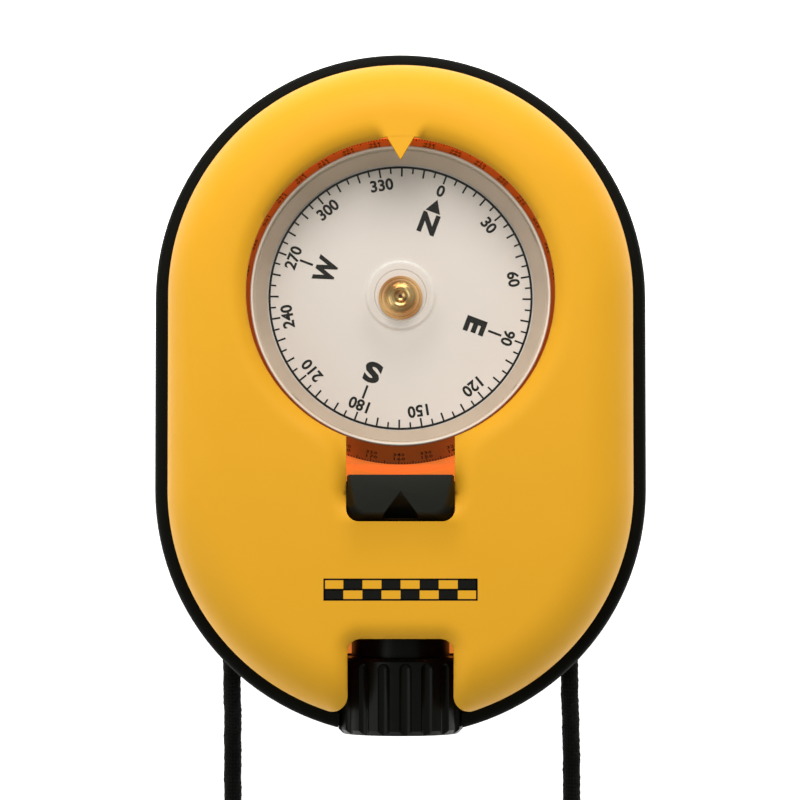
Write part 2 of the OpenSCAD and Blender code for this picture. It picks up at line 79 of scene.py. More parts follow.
class Value:
    """A number that changes over a surface. Sums on it add Math nodes."""

    def __init__(self, tree, socket):
        self.tree = tree
        self.socket = socket

    def _sum(self, operation, *terms):
        node = self.tree.nodes.new("ShaderNodeMath")
        node.operation = operation
        for slot, term in zip(node.inputs, terms):
            if isinstance(term, Value):
                self.tree.links.new(term.socket, slot)
            else:
                slot.default_value = term
        return Value(self.tree, node.outputs[0])

    def __add__(self, other):
        return self._sum("ADD", self, other)

    __radd__ = __add__

    def __sub__(self, other):
        return self._sum("SUBTRACT", self, other)

    def __rsub__(self, other):
        return self._sum("SUBTRACT", other, self)

    def __mul__(self, other):
        return self._sum("MULTIPLY", self, other)

    __rmul__ = __mul__

    def wave(self):
        """Its sine."""
        return self._sum("SINE", self)

    def at_most(self, limit):
        """The smaller of it and a limit."""
        return self._sum("MINIMUM", self, limit)

    def ring(self, at, width):
        """One where it is at a value, and fading to nothing on both sides."""
        away = (self - at) * (1 / width)
        return self._sum("EXPONENT", away * away * -1)

    def angle(self, across):
        """The angle whose sides are this and across."""
        return self._sum("ARCTAN2", self, across)


class Finish:
    """A material round one Principled shader, with its constant sockets given by name."""

    def __init__(self, name, colour, roughness, **fixed):
        self.material = bpy.data.materials.new(name)
        self.material.use_nodes = True
        self.tree = self.material.node_tree
        self.shader = self.tree.nodes["Principled BSDF"]
        self.shader.inputs["Base Color"].default_value = (*colour, 1)
        self.shader.inputs["Roughness"].default_value = roughness
        for socket, value in fixed.items():
            self.shader.inputs[socket.replace("_", " ")].default_value = value
        self.place = self.node("TexCoord", output="Object")

    def node(self, kind, settings=None, inputs=None, output=0):
        """Any node: its settings are made first, then its sockets get values or links."""
        made = self.tree.nodes.new("ShaderNode" + kind)
        for name, value in (settings or {}).items():
            setattr(made, name, value)
        for slot, value in (inputs or {}).items():
            self.feed(made.inputs[slot], value)
        return Value(self.tree, made.outputs[output])

    def feed(self, slot, value):
        """Links a value to a socket, or sets the socket to a constant."""
        if isinstance(value, Value):
            self.tree.links.new(value.socket, slot)
        else:
            slot.default_value = value

    def noise(self, size, detail=3, place=None):
        """Noise whose blotches are about size metres across, from 0 to 1."""
        inputs = {"Vector": place or self.place, "Scale": 1 / size, "Detail": detail}
        return self.node("TexNoise", inputs=inputs)

    def from_axis(self, centre, part=None):
        """How far a point is from an upright axis, or its X or Y from it."""
        moved = self.node("VectorMath", {"operation": "SUBTRACT"},
                          {0: self.place, 1: (centre.x, centre.y, 0)})
        if part:
            return self.node("SeparateXYZ", inputs={0: moved}, output=part)
        flat = self.node("VectorMath", {"operation": "MULTIPLY"}, {0: moved, 1: (1, 1, 0)})
        return self.node("VectorMath", {"operation": "LENGTH"}, {0: flat}, output="Value")

    def blend(self, share, first, second):
        """A colour between two, each of them plain or a blend itself."""
        inputs = {0: share}
        for slot, colour in ((6, first), (7, second)):
            inputs[slot] = colour if isinstance(colour, Value) else (*colour, 1)
        return self.node("Mix", {"data_type": "RGBA"}, inputs, output=2)

    def colour(self, value):
        self.feed(self.shader.inputs["Base Color"], value)

    def roughness(self, value):
        self.feed(self.shader.inputs["Roughness"], value)

    def relief(self, height, depth, strength=1.0):
        """Bumps depth metres high."""
        inputs = {"Height": height, "Distance": depth, "Strength": strength}
        self.feed(self.shader.inputs["Normal"], self.node("Bump", inputs=inputs))


def moulded(name, light, dark, roughness, grain, depth, **fixed):
    """Moulded plastic or rubber: a soft drift of tone, a fine grain and uneven gloss."""
    made = Finish(name, light, roughness, **fixed)
    made.colour(made.blend(made.noise(9 * MM), dark, light))
    made.roughness(made.noise(2.5 * MM) * 0.12 + (roughness - 0.06))
    made.relief(made.noise(grain, 4), depth)
    return made


def turned(name, light, dark, roughness, groove, centre, highlight_share=0.0, lip=0.0):
    """Lathe-turned metal: fine rings about an upright axis through centre.

    The share given after the centre is that of a painted highlight: a fan of light and dark painted
    into the colour by angle round the axis, standing in for the bow-tie of reflections that fine
    rings give. The lip is the height of a raised ring 1.5 mm from the axis.
    """
    made = Finish(name, light, roughness, Metallic=1.0)
    radius = made.from_axis(centre)
    angle = made.from_axis(centre, "Y").angle(made.from_axis(centre, "X"))
    # Painted highlight: light and dark painted into the colour by angle round the axis, a bow-tie of
    # reflections.
    painted_fan = (angle * 2 + 0.5).wave() * 0.5 + 0.5
    made.colour(made.blend(made.noise(1.2 * MM) * (1 - highlight_share) + painted_fan * highlight_share, dark, light))
    made.roughness(made.noise(0.8 * MM) * 0.1 + (roughness - 0.05))
    grooves = (radius * (2 * math.pi / groove)).wave() * (0.004 * MM)
    made.relief(grooves + radius.ring(1.5 * MM, 0.2 * MM) * lip, 1.0)
    return made


def clear(name, tint, share, most=1.0, boss=None):
    """Clear plastic or glass: lets light straight through, with gloss that grows to the edges.

    Round a boss's axis its two moulded steps show as rings of painted shade, brownish and less
    clear, the outer one darker on the side away from the key.
    """
    made = Finish(name, tint, 0.04)
    made.roughness(made.noise(6 * MM) * 0.05 + 0.02)
    gloss = (made.node("Fresnel", inputs={"IOR": 1.45}) * share).at_most(most)
    if boss:
        radius = made.from_axis(boss)
        step = radius.ring(3.85 * MM, 0.1 * MM)
        foot = radius.ring(5.1 * MM, 0.32 * MM)
        # Painted shade: brownish rings at the two steps, the outer one darker on the side away from
        # the key.
        away = made.from_axis(boss, "Y") * (-0.1 / MM) + 0.5
        made.colour(made.blend(step + foot * away, tint, (0.36, 0.27, 0.2)))
        gloss = gloss + step * 0.6 + foot * 0.22
    through = made.node("BsdfTransparent", inputs={"Color": (*tint, 1)})
    mixed = made.node("MixShader", inputs={0: gloss, 1: through})
    made.tree.links.new(made.shader.outputs[0], mixed.socket.node.inputs[2])
    made.tree.links.new(mixed.socket, made.tree.nodes["Material Output"].inputs["Surface"])
    return made


# ---- Finishes ----

def glowing(name, light, dark, strength):
    """Fluorescent plastic with painted light: it gives out its own colour as light, though it is no
    lamp.
    """
    made = Finish(name, light, 0.4, Emission_Strength=strength, Specular_IOR_Level=0.2)
    hue = made.blend(made.noise(7 * MM), dark, light)
    made.colour(hue)
    # Painted light: the colour is also given out as emission.
    made.feed(made.shader.inputs["Emission Color"], hue)
    made.roughness(made.noise(2 * MM) * 0.15 + 0.32)
    made.relief(made.noise(0.3 * MM), 0.008 * MM)
    return made


def braided():
    """Tight black braid, with painted shade darkening the hollows between its strands. The tube's
    own map runs round it and along it.
    """
    made = Finish("black_braid", (0.006, 0.006, 0.006), 0.8, Specular_IOR_Level=0.1)
    parts = made.node("UVMap", {"uv_map": "braid"})
    around = made.node("SeparateXYZ", inputs={0: parts}, output="X")
    along = made.node("SeparateXYZ", inputs={0: parts}, output="Y")
    left = ((around * 16 + along * 2) * math.pi).wave()
    right = ((around * 16 - along * 2) * math.pi).wave()
    strands = left * right
    fibres = ((around * 150 + along * 34) * math.pi).wave()
    # Painted shade: the hollows between the strands are darker, following their relief.
    made.colour(made.blend(strands * 0.5 + 0.5, (0.0015, 0.0015, 0.0015), (0.007, 0.007, 0.0065)))
    made.relief(strands + fibres * 0.2, 0.06 * MM)
    return made


def bezel_ring():
    """Grey bezel with a painted highlight: a bright line painted along its outer edge."""
    made = Finish("grey_bezel", (0.66, 0.53, 0.42), 0.42, Metallic=0.15)
    low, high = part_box("capsule_bezel")
    highlight_w = 0.2 * MM
    # Painted highlight: a near-white line along the outer edge.
    edge = made.from_axis((low + high) / 2).ring((high.x - low.x) / 2 - highlight_w, highlight_w)
    drift = made.noise(9 * MM) * (1 - edge * 0.5)
    grey = made.blend(drift, (0.56, 0.44, 0.35), (0.63, 0.5, 0.4))
    made.colour(made.blend(edge, grey, (0.98, 0.92, 0.86)))
    made.roughness(made.noise(2.5 * MM) * 0.12 + 0.36)
    made.relief(made.noise(0.3 * MM, 4), 0.006 * MM)
    return made


def optic():
    """Black moulding of the sight and eyepiece, with painted light and shade: paler on the sight's
    top face, darker on everything below it, such as the notch and the eyepiece.
    """
    made = Finish("optic_black", (0.01, 0.01, 0.01), 0.3, Specular_IOR_Level=0.14)
    height = made.node("SeparateXYZ", inputs={0: made.place}, output="Z")
    face = height.ring(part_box("sight_block")[1].z, 0.45 * MM)
    drift = made.noise(9 * MM) * 0.15
    # Painted light and shade: the top face paler, all lower faces darker.
    made.colour(made.blend(face + drift, (0.0016, 0.0018, 0.0014), (0.0125, 0.013, 0.0105)))
    made.roughness(made.noise(2.5 * MM) * 0.12 + 0.24 + face * 0.2)
    made.relief(made.noise(0.35 * MM, 4), 0.012 * MM)
    return made


def printing(name, colour):
    """Printing ink, a little worn."""
    made = Finish(name, colour, 0.55, Specular_IOR_Level=0.1)
    paler = [0.004 + part for part in colour]
    made.colour(made.blend(made.noise(0.5 * MM), colour, paler))
    made.roughness(made.noise(0.3 * MM) * 0.2 + 0.45)
    return made


def card_stock():
    """Matt white card with the faint warmth of the damping liquid over it."""
    made = Finish("card_white", (0.76, 0.68, 0.67), 0.6, Specular_IOR_Level=0.2)
    made.colour(made.blend(made.noise(14 * MM), (0.745, 0.67, 0.65), (0.785, 0.705, 0.69)))
    made.roughness(made.noise(3 * MM) * 0.15 + 0.5)
    made.relief(made.noise(0.12 * MM, 4), 0.004 * MM)
    return made


def band():
    """Woven strap with a soft looped face, its hollows darker as painted shade."""
    made = Finish("black_band", (0.02, 0.02, 0.02), 0.9, Sheen_Weight=0.4)
    loops = made.noise(0.35 * MM, 5)
    # Painted shade: the hollows of the loops are darker, following their relief.
    made.colour(made.blend(loops, (0.008, 0.008, 0.008), (0.035, 0.035, 0.034)))
    made.relief(loops, 0.25 * MM)
    return made


HUB = middle("bearing_cap")

FINISHES = {
    "yellow_shell": moulded("yellow_shell", (0.77, 0.385, 0.022), (0.74, 0.365, 0.019), 0.5,
                            0.25 * MM, 0.004 * MM, Specular_IOR_Level=0.12),
    "black_rubber": moulded("black_rubber", (0.0045, 0.0047, 0.0038), (0.003, 0.0032, 0.0026), 0.6,
                            0.4 * MM, 0.02 * MM, Specular_IOR_Level=0.06),
    "black_shell": moulded("black_shell", (0.009, 0.009, 0.009), (0.006, 0.006, 0.006), 0.5,
                           0.6 * MM, 0.05 * MM, Specular_IOR_Level=0.15),
    # Painted light: the orange body glows by emission.
    "orange_glow": glowing("orange_glow", (1.0, 0.29, 0.045), (0.96, 0.24, 0.035), 0.62),
    "zinc_steel": turned("zinc_steel", (0.62, 0.62, 0.6), (0.5, 0.5, 0.49), 0.35, 0.3 * MM, HUB),
    # The clear parts carry rings of painted shade round the hub.
    "clear_acrylic": clear("clear_acrylic", (0.97, 0.98, 0.98), 0.3, 0.05, HUB),
    "grey_bezel": bezel_ring(),
    "soft_black": moulded("soft_black", (0.01, 0.01, 0.01), (0.006, 0.006, 0.006), 0.7,
                          0.3 * MM, 0.02 * MM, Specular_IOR_Level=0.15),
    # Brass gets a painted highlight: a fan of light and dark round the hub.
    "brass": turned("brass", (1.0, 0.68, 0.3), (0.5, 0.22, 0.05), 0.16, 0.12 * MM, HUB, 0.75,
                    0.14 * MM),
    "polished_steel": turned("polished_steel", (0.7, 0.7, 0.72), (0.62, 0.62, 0.64), 0.12,
                             0.1 * MM, HUB),
    "card_white": card_stock(),
    # Painted light: the red side scale glows by emission, lifting it out of the shade of its narrow
    # opening.
    "scale_red": glowing("scale_red", (0.72, 0.14, 0.018), (0.62, 0.11, 0.013), 0.22),
    "ruby": moulded("ruby", (0.75, 0.1, 0.03), (0.6, 0.05, 0.03), 0.1, 0.3 * MM, 0.003 * MM,
                    Coat_Weight=0.5),
    "magnet_grey": moulded("magnet_grey", (0.12, 0.12, 0.125), (0.08, 0.08, 0.085), 0.5,
                           0.2 * MM, 0.03 * MM, Metallic=0.7),
    "optic_black": optic(),
    "lens_glass": clear("lens_glass", (0.93, 0.96, 0.98), 1.0),
    "anodised_black": moulded("anodised_black", (0.004, 0.004, 0.004), (0.0025, 0.0025, 0.0025),
                              0.35, 0.15 * MM, 0.006 * MM, Specular_IOR_Level=0.14),
    "black_braid": braided(),
    "ferrule_grey": turned("ferrule_grey", (0.55, 0.55, 0.56), (0.45, 0.45, 0.46), 0.32,
                           0.25 * MM, HUB),
    "black_band": band(),
}

print_black = printing("print_black", (0.003, 0.003, 0.0025))


def dress_nodes():
    """Gives every CAD node the finish of its material slot."""
    for entry in frame["record"]["subparts"]:
        node = frame["nodes"][entry["node"]]
        node.material_slots[0].material = FINISHES[entry["material_slot"]].material


# ---- Making pieces ----

INK = 0.02 * MM
INK_LIFT = 0.012 * MM


def fresh():
    """Leaves nothing selected, so that the next operator takes only the new piece."""
    if bpy.context.object and bpy.context.object.mode != "OBJECT":
        bpy.ops.object.mode_set(mode="OBJECT")
    bpy.ops.object.select_all(action="DESELECT")


def take(piece):
    """Makes a piece the only one selected, and the one that operators work on."""
    fresh()
    piece.select_set(True)
    bpy.context.view_layer.objects.active = piece


def settle(name, finish):
    """Names the new piece, puts its place in its mesh and gives it its finish."""
    piece = bpy.context.object
    piece.name = name
    piece.data.name = name
    piece.data.transform(piece.matrix_world)
    piece.matrix_world = Matrix.Identity(4)
    piece.data.materials.clear()
    piece.data.materials.append(finish.material)
    return piece


def joined(pieces, name, finish):
    """Makes one piece of several."""
    take(pieces[0])
    for piece in pieces:
        piece.select_set(True)
    bpy.ops.object.join()
    return settle(name, finish)


def lettering(words, height, bold, place, resolution=4, width=None):
    """Printed figures of a given height, and width if there is one, centred on their place."""
    fresh()
    bpy.ops.object.text_add()
    text = bpy.context.object
    text.data.body = words
    text.data.size = 1
    text.data.offset = bold
    text.data.extrude = 0.005
    text.data.resolution_u = resolution
    bpy.ops.object.convert(target="MESH")
    xs = [v.co.x for v in text.data.vertices]
    ys = [v.co.y for v in text.data.vertices]
    tall = height / (max(ys) - min(ys))
    wide = width / (max(xs) - min(xs)) if width else tall
    # A leading 1 keeps some of the blank that type has at its left.
    blank = 0.08 if words[0] == "1" else 0
    centre = Vector(((max(xs) + min(xs)) / 2 - blank, (max(ys) + min(ys)) / 2, 0))
    text.data.transform(Matrix.Diagonal((wide, tall, tall, 1)) @ Matrix.Translation(-centre))
    text.data.transform(place)
    return text


def stroke(width, length, place):
    """A printed bar, its length along Y."""
    fresh()
    bpy.ops.mesh.primitive_cube_add(size=1)
    bar = bpy.context.object
    bar.data.transform(Matrix.Diagonal((width, length, INK, 1)))
    bar.data.transform(place)
    return bar


# ---- Printing on the card ----

CARD_TURN = math.radians(20.6)
card_low, card_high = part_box("card_disc")
CARD = Vector((*middle("card_disc").xy, card_high.z))
CARD_R = (card_high.x - card_low.x) / 2


def turned_to(bearing):
    """The turn from ahead to a bearing of the card."""
    return Matrix.Rotation(-CARD_TURN - math.radians(bearing), 4, "Z")


def on_card(bearing, radius):
    """The place on the card at a bearing, with its top outwards."""
    centre = Matrix.Translation(CARD + Vector((0, 0, INK_LIFT)))
    return centre @ turned_to(bearing) @ Matrix.Translation((0, radius, 0))


def all_round(mark, count):
    """Copies a mark round the card's axis, so that there are count of it."""
    take(mark)
    bpy.ops.object.mode_set(mode="EDIT")
    bpy.ops.mesh.select_all(action="SELECT")
    bpy.ops.mesh.spin(steps=count - 1, dupli=True, angle=2 * math.pi * (count - 1) / count,
                      center=CARD, axis=(0, 0, 1))
    bpy.ops.object.mode_set(mode="OBJECT")
    return mark


def rim_line(radius, width):
    """The printed circle that the ticks hang from."""
    fresh()
    bpy.ops.mesh.primitive_circle_add(vertices=180, radius=radius, location=CARD)
    bpy.ops.object.mode_set(mode="EDIT")
    bpy.ops.mesh.select_all(action="SELECT")
    bpy.ops.mesh.extrude_edges_move()
    bpy.ops.transform.resize(value=(1 - width / radius,) * 2 + (1,), center_override=CARD)
    bpy.ops.mesh.select_all(action="SELECT")
    bpy.ops.mesh.extrude_region_move(TRANSFORM_OT_translate={"value": (0, 0, INK)})
    bpy.ops.mesh.select_all(action="SELECT")
    bpy.ops.mesh.normals_make_consistent(inside=False)
    bpy.ops.object.mode_set(mode="OBJECT")
    return bpy.context.object


def north_arrow():
    """The triangle that points from the N to the rim."""
    fresh()
    bpy.ops.mesh.primitive_cylinder_add(vertices=3, radius=1.35 * MM, depth=INK)
    arrow = bpy.context.object
    arrow.data.transform(on_card(0, 14.5 * MM))
    return arrow


def make_card_print():
    """Rim line, ticks every 5 degrees, figures every 30, the four letters and the arrow."""
    rim = 19.9 * MM
    line_w = 0.34 * MM
    parts = [rim_line(rim, line_w)]
    for bearing, width, length in ((0, 0.27 * MM, 1.55 * MM), (5, 0.25 * MM, 1.1 * MM)):
        tick = stroke(width, length, on_card(bearing, rim - length / 2))
        parts.append(all_round(tick, 36))
    for bearing in range(0, 360, 30):
        parts.append(lettering(str(bearing), 1.8 * MM, 0.03, on_card(bearing, 17.25 * MM)))
    letters = ((0, "N", 2.75), (90, "E", 2.35), (180, "S", 2.6), (270, "W", 3.95))
    for bearing, letter, width in letters:
        at = on_card(bearing, 12 * MM)
        parts.append(lettering(letter, 3.2 * MM, 0.048, at, width=width * MM))
        if letter != "N":
            parts.append(stroke(line_w, 2.1 * MM, on_card(bearing, 15.15 * MM)))
    parts.append(north_arrow())
    printed = joined(parts, "card_print", print_black)
    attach(printed, "card")


def on_scale(bearing, height):
    """A place on the sloping side scale, height above its foot, with its top towards the card."""
    low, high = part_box("side_scale_ring")
    foot_r = (high.x - low.x) / 2
    run = foot_r - CARD_R
    rise = CARD.z - low.z
    slope = math.hypot(run, rise)
    up = Vector((0, -run / slope, rise / slope))
    face = Vector((0, rise / slope, run / slope))
    side = up.cross(face)
    point = Vector((0, foot_r, low.z)) + up * height + face * INK_LIFT
    tilted = Matrix((
        (side.x, up.x, face.x, point.x),
        (side.y, up.y, face.y, point.y),
        (side.z, up.z, face.z, point.z),
        (0, 0, 0, 1),
    ))
    return Matrix.Translation((CARD.x, CARD.y, 0)) @ turned_to(bearing) @ tilted


def make_scale_print():
    """A tick at each degree, a longer one at each fifth, and two rows of figures at each tenth."""
    fine = stroke(0.11 * MM, 0.7 * MM, on_scale(0, 0.4 * MM))
    parts = [all_round(fine, 360)]
    long = stroke(0.13 * MM, 1.15 * MM, on_scale(0, 0.62 * MM))
    parts.append(all_round(long, 72))
    for bearing in range(0, 360, 10):
        facing = (bearing + 180) % 360
        for figure, height in ((facing, 3.55 * MM), (bearing, 2.05 * MM)):
            at = on_scale(bearing, height)
            parts.append(lettering(f"{figure:03d}", 1.15 * MM, 0.01, at, 1, 1.75 * MM))
    printed = joined(parts, "side_scale_print", print_black)
    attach(printed, "card")


# ---- Cover ----

# The plan is a circle drawn out along Y: COVER_END is where its round ends begin.
COVER_R, cover_top, COVER_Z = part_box("top_cover")[1]
COVER_END = cover_top - COVER_R
SHOULDER = 8 * MM

# The face dips by DIP over a width of DIP_W to each opening, and rises by HUMP behind the sight.
DIP = 1.5 * MM
DIP_W = 2.8 * MM
HUMP = 0.9 * MM
HUMP_W = 6.5 * MM

POINTER_Y = 34.08 * MM
WINDOW = Vector((0, COVER_END + 0.3 * MM, 0))
WINDOW_R = 22.9 * MM

# Each opening is half its width, its two ends along Y and the radius of its corners. The dip is
# shaped round a slot that ends nearer to the window than the real one.
SLOT = (8.03 * MM, -19.3 * MM, 0, 1.9 * MM)
SLOT_DIP = (8.03 * MM, -16.5 * MM, 0, 1.9 * MM)
NOTCH = (7.83 * MM, -60 * MM, -36.57 * MM, 2 * MM)


def cut(piece, tool):
    """Cuts the tool out of the piece."""
    take(piece)
    modifier = piece.modifiers.new("cut", "BOOLEAN")
    modifier.object = tool
    modifier.operation = "DIFFERENCE"
    bpy.ops.object.modifier_apply(modifier="cut")
    bpy.data.objects.remove(tool)


def pick_faces(piece, wanted):
    """Opens a piece in edit mode with only the wanted faces selected."""
    bpy.ops.object.mode_set(mode="EDIT")
    bpy.ops.mesh.select_mode(type="FACE")
    bpy.ops.mesh.select_all(action="DESELECT")
    bpy.ops.object.mode_set(mode="OBJECT")
    for face in piece.data.polygons:
        face.select = wanted(face)
    bpy.ops.object.mode_set(mode="EDIT")


def block(half_w, y0, y1, corner, z0, z1, front_corners=True):
    """An upright block with its corners rounded, or only those behind, at low Y."""
    fresh()
    bpy.ops.mesh.primitive_cube_add(size=1, location=(0, (y0 + y1) / 2, (z0 + z1) / 2))
    made = bpy.context.object
    made.scale = (2 * half_w, y1 - y0, z1 - z0)
    bpy.ops.object.transform_apply(location=True, rotation=False, scale=True)
    bpy.ops.object.mode_set(mode="EDIT")
    bpy.ops.mesh.select_mode(type="EDGE")
    bpy.ops.mesh.select_all(action="DESELECT")
    bpy.ops.object.mode_set(mode="OBJECT")
    for edge in made.data.edges:
        a, b = (made.data.vertices[v].co for v in edge.vertices)
        upright = abs(a.z - b.z) > (z1 - z0) / 2
        edge.select = upright and (front_corners or a.y < (y0 + y1) / 2)
    bpy.ops.object.mode_set(mode="EDIT")
    bpy.ops.mesh.bevel(offset=corner, segments=10, affect="EDGES")
    bpy.ops.object.mode_set(mode="OBJECT")
    return made


def eased(share):
    """Nought to one with a soft start and a soft end."""
    share = min(max(share, 0), 1)
    return share * share * (3 - 2 * share)


def gap_to_block(x, y, half_w, y0, y1, corner):
    """How far a point is outside a rounded block, in plan."""
    across = abs(x) - half_w + corner
    along = abs(y - (y0 + y1) / 2) - (y1 - y0) / 2 + corner
    return math.hypot(max(across, 0), max(along, 0)) + min(max(across, along), 0) - corner


def soft_min(a, b, reach):
    """The smaller of two distances, rounded off where they are alike."""
    near = max(reach - abs(a - b), 0) / reach
    return min(a, b) - near * near * reach / 4


def cover_height(x, y):
    """The height of the cover's face: round at the rim, and dipping softly to each opening.

    It stays level at the pointer, and rises a little to the back of the sight.
    """
    rim = COVER_R - math.hypot(x, max(abs(y) - COVER_END, 0))
    rim = min(max(rim, 0), SHOULDER)
    fall = SHOULDER - math.sqrt(SHOULDER ** 2 - (SHOULDER - rim) ** 2)
    window = math.hypot(x, y - WINDOW.y) - WINDOW_R
    gap = soft_min(window, gap_to_block(x, y, *SLOT_DIP), 4 * MM)
    gap = min(gap, gap_to_block(x, y, *NOTCH))
    share = 1 - min(max(gap / DIP_W, 0), 1)
    if y > WINDOW.y:
        share *= eased((abs(x) - 0.55 * (y - POINTER_Y)) / (1.5 * MM))
    behind = 1 - min(max(SLOT[1] - y, 0) / HUMP_W, 1)
    beside = eased((SLOT[0] + 2 * MM - abs(x)) / (4 * MM)) * eased(1 - (y - SLOT[1]) / (3 * MM))
    rise = HUMP * behind ** 2 * beside
    return COVER_Z + rise - fall - DIP * share ** 2.2 * (1 - 0.55 * fall / SHOULDER)


def stadium_plate():
    """A flat plate in the cover's outline, its top in rings that are finest at the rim."""
    around = 288
    fresh()
    bpy.ops.mesh.primitive_circle_add(vertices=around, radius=COVER_R, fill_type="NGON",
                                      rotation=(0, 0, math.pi / around))
    plate = bpy.context.object
    bpy.ops.object.transform_apply(location=False, rotation=True, scale=False)
    for vertex in plate.data.vertices:
        vertex.co.y += math.copysign(COVER_END, vertex.co.y)
    bpy.ops.object.mode_set(mode="EDIT")
    bpy.ops.mesh.select_all(action="SELECT")
    bpy.ops.mesh.extrude_region_move(TRANSFORM_OT_translate={"value": (0, 0, 1 * MM)})
    bends = 14
    reach = [SHOULDER * (1 - math.cos(math.pi / 2 * k / bends)) for k in range(bends + 1)]
    steps = [outer - inner for inner, outer in zip(reach, reach[1:])]
    steps += [0.75 * MM] * 33
    for step in steps:
        bpy.ops.mesh.inset(thickness=step, depth=0, use_even_offset=True)
    rows = 38
    for row in range(rows + 1):
        y = COVER_END * (2 * row / rows - 1) * 0.99
        bpy.ops.mesh.select_all(action="SELECT")
        bpy.ops.mesh.bisect(plane_co=(0, y, 0), plane_no=(0, 1, 0))
    bpy.ops.object.mode_set(mode="OBJECT")
    return plate


def window_tool():
    """The cylinder that cuts the round window."""
    fresh()
    bpy.ops.mesh.primitive_cylinder_add(vertices=224, radius=WINDOW_R, depth=8 * MM, location=WINDOW)
    return bpy.context.object


def make_index_pointer():
    """The pointer that reads against the card, moulded level with the cover's face."""
    base_y = WINDOW.y + WINDOW_R + 0.9 * MM
    tall = base_y - POINTER_Y
    half_w = 0.6 * tall
    thick = 1.2 * MM
    top = COVER_Z - 0.04 * MM
    fresh()
    bpy.ops.mesh.primitive_cylinder_add(vertices=3, radius=1, depth=thick, rotation=(0, 0, math.pi),
                                        location=(0, base_y - tall / 3, top - thick / 2))
    pointer = bpy.context.object
    pointer.scale = (2 * half_w / math.sqrt(3), tall / 1.5, 1)
    bpy.ops.object.transform_apply(location=False, rotation=True, scale=True)
    bpy.ops.object.mode_set(mode="EDIT")
    bpy.ops.mesh.select_all(action="SELECT")
    bpy.ops.mesh.bevel(offset=0.08 * MM, segments=2, affect="EDGES")
    bpy.ops.object.mode_set(mode="OBJECT")
    piece = settle("index_pointer", FINISHES["yellow_shell"])
    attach(piece, "case")


def flare_tool(side):
    """The corner that eases the notch into the rim."""
    ease = 2.5 * MM
    half_w = NOTCH[0]
    y = -COVER_END - math.sqrt((COVER_R - ease) ** 2 - (half_w + ease) ** 2)
    inner = half_w - 0.4 * MM
    outer = (half_w + ease) * COVER_R / (COVER_R - ease)
    fresh()
    bpy.ops.mesh.primitive_cube_add(size=1, location=(side * (inner + outer) / 2, y - 2 * MM, 0))
    tool = bpy.context.object
    tool.scale = (outer - inner, 4 * MM, 8 * MM)
    fresh()
    bpy.ops.mesh.primitive_cylinder_add(vertices=96, radius=ease, depth=9 * MM,
                                        location=(side * (half_w + ease), y, 0))
    cut(tool, bpy.context.object)
    return tool


def make_cover():
    """A moulded skin with softly dipped openings and walls turned down round every edge."""
    plate = stadium_plate()
    cut(plate, window_tool())
    cut(plate, block(*SLOT, -4 * MM, 4 * MM))
    cut(plate, block(*NOTCH, -4 * MM, 4 * MM))
    for side in (-1, 1):
        cut(plate, flare_tool(side))
    take(plate)
    mesh = plate.data
    pick_faces(plate, lambda face: face.normal.z < 0.9)
    bpy.ops.mesh.delete(type="FACE")
    bpy.ops.mesh.select_all(action="SELECT")
    bpy.ops.mesh.remove_doubles(threshold=0.01 * MM)
    bpy.ops.object.mode_set(mode="OBJECT")
    for vertex in mesh.vertices:
        vertex.co.z = cover_height(vertex.co.x, vertex.co.y)
    skin = len(mesh.vertices)
    bpy.ops.object.mode_set(mode="EDIT")
    bpy.ops.mesh.select_mode(type="EDGE")
    bpy.ops.mesh.select_all(action="DESELECT")
    bpy.ops.mesh.select_non_manifold(extend=False, use_wire=False, use_boundary=True,
                                     use_multi_face=False, use_non_contiguous=False, use_verts=False)
    bpy.ops.mesh.extrude_edges_move()
    bpy.ops.object.mode_set(mode="OBJECT")
    seam = 14.52 * MM
    wall_tall = 1.3 * MM
    for vertex in mesh.vertices[skin:]:
        x, y, z = vertex.co
        at_rim = COVER_R - math.hypot(x, max(abs(y) - COVER_END, 0)) < 0.05 * MM
        vertex.co.z = seam if at_rim else max(z - wall_tall, seam)
    thick = plate.modifiers.new("wall", "SOLIDIFY")
    thick.thickness = 1.7 * MM
    thick.offset = -1
    bpy.ops.object.modifier_apply(modifier="wall")
    bpy.ops.object.shade_smooth_by_angle(angle=math.radians(50))
    cover = settle("cover_skin", FINISHES["yellow_shell"])
    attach(cover, "case")
    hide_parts("top_cover")


# ---- Sight ----

